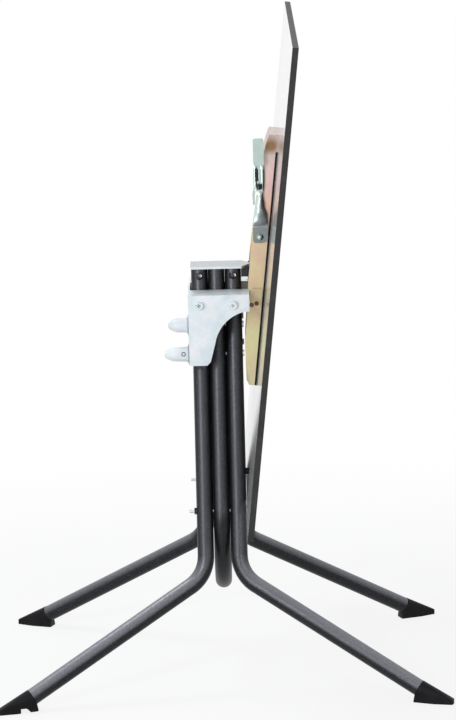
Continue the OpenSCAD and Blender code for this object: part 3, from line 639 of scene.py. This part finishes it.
LEVER_ROLL = [(LEVER_FOOT, 0.0), (76, 0.0), (88, 1.8), (112, 1.8), (121, 0.5), (LEVER_TIP, 0.0)]
LEVER_SHEET = 2.4
ROLL_FROM = 0.35
SLOT_LOW, SLOT_HIGH, SLOT_LEFT, SLOT_RIGHT = 94, 117, -6.2, -0.2
SLOT_ROUND = 0.5
SCREW_HOLE = 4.0
LEVER_COLUMNS = 28
LEVER_STEP = 1.0


def lever_place(across, at, up):
    """A place by its millimetres across and above the screw and off the channel's wall."""
    return Vector((SCREW_X + across * MM, WALL_Y - up * MM, SCREW_Z + at * MM))


def stands_off(at, t):
    """How far the lever stands off the wall at a height and a share t of its width."""
    edge = abs(2 * t - 1)
    up = between(LEVER_DEPTH, at) + between(LEVER_CROWN, at) * (1 - edge ** 2)
    if edge > ROLL_FROM:
        turn = math.pi * (edge - ROLL_FROM) / (1 - ROLL_FROM)
        up += between(LEVER_ROLL, at) * max(0.0, math.sin(turn))
    return up


def is_open(across, at):
    """Whether a cell of the lever lies in the eye's slot or the screw's hole."""
    rounded = SLOT_ROUND * abs(across - (SLOT_LEFT + SLOT_RIGHT) / 2)
    in_slot = (SLOT_LEFT < across < SLOT_RIGHT
               and SLOT_LOW + rounded < at < SLOT_HIGH - rounded)
    return in_slot or math.hypot(across, at) < SCREW_HOLE


def build_lever(bm):
    rows = []
    for k in range(int((LEVER_TIP - LEVER_FOOT) / LEVER_STEP) + 1):
        at = LEVER_FOOT + k * LEVER_STEP
        left, right = between(LEVER_LEFT, at), between(LEVER_RIGHT, at)
        row = []
        for n in range(LEVER_COLUMNS + 1):
            t = n / LEVER_COLUMNS
            across = left + (right - left) * t
            row.append((across, at, bm.verts.new(lever_place(across, at, stands_off(at, t)))))
        rows.append(row)
    for a, b in zip(rows, rows[1:]):
        for n in range(LEVER_COLUMNS):
            if not is_open((a[n][0] + a[n + 1][0]) / 2, (a[n][1] + b[n][1]) / 2):
                bm.faces.new([corner[2] for corner in (a[n], a[n + 1], b[n + 1], b[n])])
    loose = [v for v in bm.verts if not v.link_faces]
    bmesh.ops.delete(bm, geom=loose, context="VERTS")


lever = make_piece("lever_strap", "lever", "blue_zinc", build_lever)
sheet = lever.modifiers.new("sheet", "SOLIDIFY")
sheet.thickness = LEVER_SHEET * MM
sheet.offset = 0
soften(lever, "soft", 0.4 * MM, 50)
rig.replaces(lever, "latch_lever")


def flat_plate(outline, low, high):
    """A builder for a flat plate in the lever, from its outline and the two distances of its
    faces from the wall, in millimetres."""
    def build(bm):
        front = [bm.verts.new(lever_place(x, at, high)) for x, at in outline]
        back = [bm.verts.new(lever_place(x, at, low)) for x, at in outline]
        bm.faces.new(front)
        bm.faces.new(back[::-1])
        count = len(outline)
        for n in range(count):
            m = (n + 1) % count
            bm.faces.new((front[n], back[n], back[m], front[m]))
    return build


# A black plate behind the eye's slot, as painted shade for the eye's inside, and the leaf that shows beside the neck
EYE_SHADE_PLATE = [(-6.5, 84), (6.5, 84), (7.5, 90), (7.5, 122), (-7.5, 122), (-7.5, 90)]
TAIL = [(-10.5, 54), (-7.4, 56), (-7.0, 84), (-7.6, 90), (-9.4, 82), (-11.4, 72)]
make_piece("lever_eye_shade", "lever", "black_steel", flat_plate(EYE_SHADE_PLATE, 0.1, 0.5), smooth=False)
make_piece("lever_tail", "lever", "blue_zinc", flat_plate(TAIL, 0.1, 1.2), smooth=False)

COIL_TURNS = 7
COIL_POINTS = 20
COIL_SIDES = 10
COIL_WIRE = 0.72 * MM
spring_low, spring_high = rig.box("lever_spring")


def build_spring(bm):
    middle = (spring_low + spring_high) / 2
    radius = (spring_high.x - spring_low.x) / 2 - COIL_WIRE
    rise = spring_high.z - spring_low.z - 2 * COIL_WIRE
    path = []
    for k in range(COIL_TURNS * COIL_POINTS + 1):
        turn = 2 * math.pi * k / COIL_POINTS
        path.append(Vector((middle.x + radius * math.cos(turn), middle.y + radius * math.sin(turn),
                            spring_low.z + COIL_WIRE + rise * k / (COIL_TURNS * COIL_POINTS))))
    tube(bm, path, COIL_WIRE, COIL_SIDES)


spring = make_piece("lever_coil", "lever", "black_steel", build_spring)
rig.replaces(spring, "lever_spring")


# Recesses, in millimetres: how deep the piece is sunk in the head, how far its rim stands out
# and how far its floor lies under the rim. Then, as shares of its width, the rim's inside, the
# floor and half the width of a cross's arm
RECESS_SUNK = 1.2
RECESS_RIM = {"cross": 0.35, "hex": 0.5, "ring": 0.5}
RECESS_DEPTH = 0.7
RIM_INSIDE, FLOOR_INSIDE = 0.72, 0.66
CROSS_ARM = 0.15


def recess_outline(kind, across):
    """Corners of a cross, or of a six-sided outline."""
    arm = across / 2
    if kind == "cross":
        wide = across * CROSS_ARM
        return [(wide, wide), (wide, arm), (-wide, arm), (-wide, wide), (-arm, wide),
                (-arm, -wide), (-wide, -wide), (-wide, -arm), (wide, -arm), (wide, -wide),
                (arm, -wide), (arm, wide)]
    return [(arm * math.cos(a), arm * math.sin(a)) for a in (math.pi * n / 3 for n in range(6))]


def socket_piece(name, carrier, body, slot, across, kind):
    """A recess in a screw head, where its image point meets the carrier.

    A ring lies along the carrier's surface there, and the other kinds face the front."""
    place, normal = on_surface(name, frame["nodes"][carrier])
    out = normal if kind == "ring" else Vector((0, -1, 0))
    turn = out.to_track_quat("Z", "Y").to_matrix()
    corners = recess_outline(kind, across)
    high = RECESS_RIM[kind]

    def loop(bm, share, up):
        return [bm.verts.new(place + turn @ Vector((x * share, y * share, up)) * MM)
                for x, y in corners]

    def build(bm):
        base, rim = loop(bm, 1, -RECESS_SUNK), loop(bm, 1, high)
        inner, floor = loop(bm, RIM_INSIDE, high), loop(bm, FLOOR_INSIDE, high - RECESS_DEPTH)
        count = len(corners)
        for a, b in ((base, rim), (rim, inner), (inner, floor)):
            for n in range(count):
                bm.faces.new((a[n], a[(n + 1) % count], b[(n + 1) % count], b[n]))
        bm.faces.new(base[::-1])
        bm.faces.new(floor)

    return make_piece(name + "_recess", body, slot, build, smooth=False)


# The lever screw's cross is black steel: painted shade in its recess
socket_piece("lever_screw", "lever_screw", "top", "black_steel", 6.4, "cross")
socket_piece("bracket_bolt_left", "bracket_bolts", "stand", "blue_zinc", 7.0, "cross")
socket_piece("bracket_bolt_right", "bracket_bolts", "stand", "blue_zinc", 7.0, "cross")
socket_piece("head_bolt_left", "head_bolts", "stand", "clear_zinc", 5.0, "hex")
socket_piece("head_bolt_right", "head_bolts", "stand", "clear_zinc", 5.0, "hex")
socket_piece("nose_screw", "nose_lower", "stand", "black_steel", 8.0, "ring")

# ---- stage ----

FLOOR_SIZE = 9.0
FLOOR_DROP = 0.0005
FLOOR_GREY = 0.80
FLOOR_ROUGH = 0.8
SHADOW_NEAR, SHADOW_FAR = 0.7, 1.6
SHADOW_SHARE = 0.16


def seen_ray(tree):
    """1 for the rays that the camera, a shiny surface or a clear one sends, otherwise 0."""
    path = tree.nodes.new("ShaderNodeLightPath")
    value = path.outputs["Is Camera Ray"]
    for name in ("Is Glossy Ray", "Is Transmission Ray"):
        most = tree.nodes.new("ShaderNodeMath")
        most.operation = "MAXIMUM"
        tree.links.new(value, most.inputs[0])
        tree.links.new(path.outputs[name], most.inputs[1])
        value = most.outputs[0]
    return value


def floor_material():
    """Pale floor: it shows the shadow near the object and turns plain white away from it."""
    s = Shader("floor")
    s.set(Base_Color=(FLOOR_GREY, FLOOR_GREY, FLOOR_GREY, 1), Roughness=FLOOR_ROUGH)
    far = s.tree.nodes.new("ShaderNodeVectorMath")
    far.operation = "LENGTH"
    s.link(s.coords.outputs["Object"], far.inputs[0])
    share = s.span(far.outputs["Value"], SHADOW_NEAR, SHADOW_FAR, 1 - SHADOW_SHARE, 1.0)
    both = s.tree.nodes.new("ShaderNodeMath")
    both.operation = "MULTIPLY"
    s.link(share, both.inputs[0])
    s.link(seen_ray(s.tree), both.inputs[1])
    white = s.tree.nodes.new("ShaderNodeEmission")
    mix = s.tree.nodes.new("ShaderNodeMixShader")
    s.link(both.outputs[0], mix.inputs[0])
    s.link(s.surface.outputs[0], mix.inputs[1])
    s.link(white.outputs[0], mix.inputs[2])
    s.link(mix.outputs[0], s.tree.nodes["Material Output"].inputs["Surface"])
    return s.material


def make_floor():
    a = FLOOR_SIZE
    mesh = bpy.data.meshes.new("floor")
    mesh.from_pydata([(x, y, -FLOOR_DROP) for x, y in ((-a, -a), (a, -a), (a, a), (-a, a))], [],
                     [(0, 1, 2, 3)])
    floor = bpy.data.objects.new("floor", mesh)
    floor.data.materials.append(floor_material())
    bpy.context.scene.collection.objects.link(floor)
    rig.stage(floor)


make_floor()

SKY_COLOR = (0.96, 0.98, 1.0, 1)
SKY_STRENGTH = 0.42


def make_world():
    """A soft even light, and plain white for what seen_ray names."""
    world = bpy.data.worlds.new("studio")
    bpy.context.scene.world = world
    world.use_nodes = True
    tree = world.node_tree
    tree.nodes.clear()
    out = tree.nodes.new("ShaderNodeOutputWorld")
    light = tree.nodes.new("ShaderNodeBackground")
    light.inputs["Color"].default_value = SKY_COLOR
    light.inputs["Strength"].default_value = SKY_STRENGTH
    white = tree.nodes.new("ShaderNodeBackground")
    white.inputs["Color"].default_value = (1, 1, 1, 1)
    white.inputs["Strength"].default_value = 1.0
    mix = tree.nodes.new("ShaderNodeMixShader")
    tree.links.new(seen_ray(tree), mix.inputs[0])
    tree.links.new(light.outputs[0], mix.inputs[1])
    tree.links.new(white.outputs[0], mix.inputs[2])
    tree.links.new(mix.outputs[0], out.inputs["Surface"])


make_world()


def area(name, place, aim, size, power, color):
    """A soft lamp at a place, aimed at another, with a width and height and a power in watts."""
    data = bpy.data.lights.new(name, "AREA")
    data.shape = "RECTANGLE"
    data.size, data.size_y = size
    data.energy = power
    data.color = color
    lamp = bpy.data.objects.new(name, data)
    bpy.context.scene.collection.objects.link(lamp)
    lamp.location = place
    lamp.rotation_euler = (Vector(aim) - Vector(place)).to_track_quat("-Z", "Y").to_euler()


LAMP_BLUE = (0.93, 0.96, 1.0)
LAMP_WHITE = (1, 1, 1)
LAMPS = [
    ("key", (-2.0, -3.9, 2.3), (0, 0, 0.3), (0.6, 0.6), 62, LAMP_BLUE),
    ("fill", (2.0, -3.9, 2.2), (0, 0, 0.3), (0.6, 0.6), 28, LAMP_BLUE),
    ("low", (-2.4, -3.9, 0.4), (0, 0, 0.5), (0.7, 0.7), 36, LAMP_WHITE),
    ("top", (-1.0, 0.6, 3.0), (0, 0, 0.2), (1.0, 1.0), 26, LAMP_BLUE),
    ("rear", (-0.5, 3.0, 2.6), (0, 0, 0.6), (2.0, 1.2), 8, LAMP_WHITE),
]
for lamp_row in LAMPS:
    area(*lamp_row)

bpy.context.scene.view_settings.view_transform = "Standard"

# ---- how far each thing shows from its point ----

# A vertex shows if nothing stands more than the slack before it, and a middle is taken over the
# vertices that show this close to the point
VISIBLE_SLACK = 0.002
CLOSE = 12.0
MIDDLES = {"lever_screw": "lever_screw", "bracket_bolt_left": "bracket_bolts",
           "bracket_bolt_right": "bracket_bolts", "head_bolt_left": "head_bolts",
           "head_bolt_right": "head_bolts", "channel_rivet": "plate_rivets",
           "nose_screw": "nose_screw_recess"}
# Points at an end: the node, and the way on the photograph in which its end lies
ENDS = {"foot_front_left_toe": ("foot_front_left", (-1, 0.0)),
        "foot_front_right_toe": ("foot_front_right", (1, 0.0)),
        "foot_rear_left_toe": ("foot_rear_left", (-1, 0.0)),
        "foot_rear_right_toe": ("foot_rear_right", (1, 0.0)),
        "board_near_corner": ("table_top", (1, -0.15)),
        "board_far_corner": ("table_top", (0.0, -1)),
        "cap_left": ("column_cap", (-1, 0.0))}


def shown_places():
    """Finished vertices of each piece that the camera sees, as photograph points."""
    bpy.context.view_layer.update()
    solids = {}
    for obj in bpy.context.scene.objects:
        if obj.type == "MESH" and not obj.hide_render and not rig.is_stage(obj):
            solids[obj.name] = finished(obj)
    places, faces = [], []
    for own, own_faces in solids.values():
        shift = len(places)
        places += own
        faces += [tuple(i + shift for i in face) for face in own_faces]
    tree = BVHTree.FromPolygons(places, faces)
    seen = {}
    for name, (own, _) in solids.items():
        seen[name] = []
        for place in own:
            way = place - CAM_AT
            hit = tree.ray_cast(CAM_AT, way.normalized(), way.length - VISIBLE_SLACK)[0]
            if hit is None:
                seen[name].append(image_of(place))
    return seen


def named(node):
    """The scene's name of a CAD node, or of a piece that this script adds."""
    return frame["nodes"][node].name if node in frame["nodes"] else node


def measure_points():
    """Writes how far each thing shows from its point."""
    seen = shown_places()
    every = [p for group in seen.values() for p in group]
    shows = {"object_left": (min(p[0] for p in every), None),
             "object_right": (max(p[0] for p in every), None),
             "object_top": (None, min(p[1] for p in every)),
             "object_bottom": (None, max(p[1] for p in every))}
    for point, node in MIDDLES.items():
        x, y = POINTS[point]
        near = [p for p in seen[named(node)] if math.hypot(p[0] - x, p[1] - y) < CLOSE]
        if near:
            shows[point] = tuple((min(p[k] for p in near) + max(p[k] for p in near)) / 2
                                 for k in (0, 1))
    for point, (node, way) in ENDS.items():
        if seen[named(node)]:
            shows[point] = max(seen[named(node)], key=lambda p: p[0] * way[0] + p[1] * way[1])
    rows = {}
    for point, target in POINTS.items():
        found = shows.get(point)
        rows[point] = {"point": target, "shows": found and [v and round(v, 1) for v in found],
                       "off": found and [None if t is None else round(v - t, 1)
                                         for t, v in zip(target, found)]}
    json.dump(rows, open("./points.json", "w"), indent=1)


try:
    measure_points()
except (KeyError, ValueError, RuntimeError) as problem:
    json.dump({"problem": str(problem)}, open("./points.json", "w"))

json.dump({"cad": CAD_BOX, "visual": [list(map(float, p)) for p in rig.bounds()]},
          open("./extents.json", "w"))
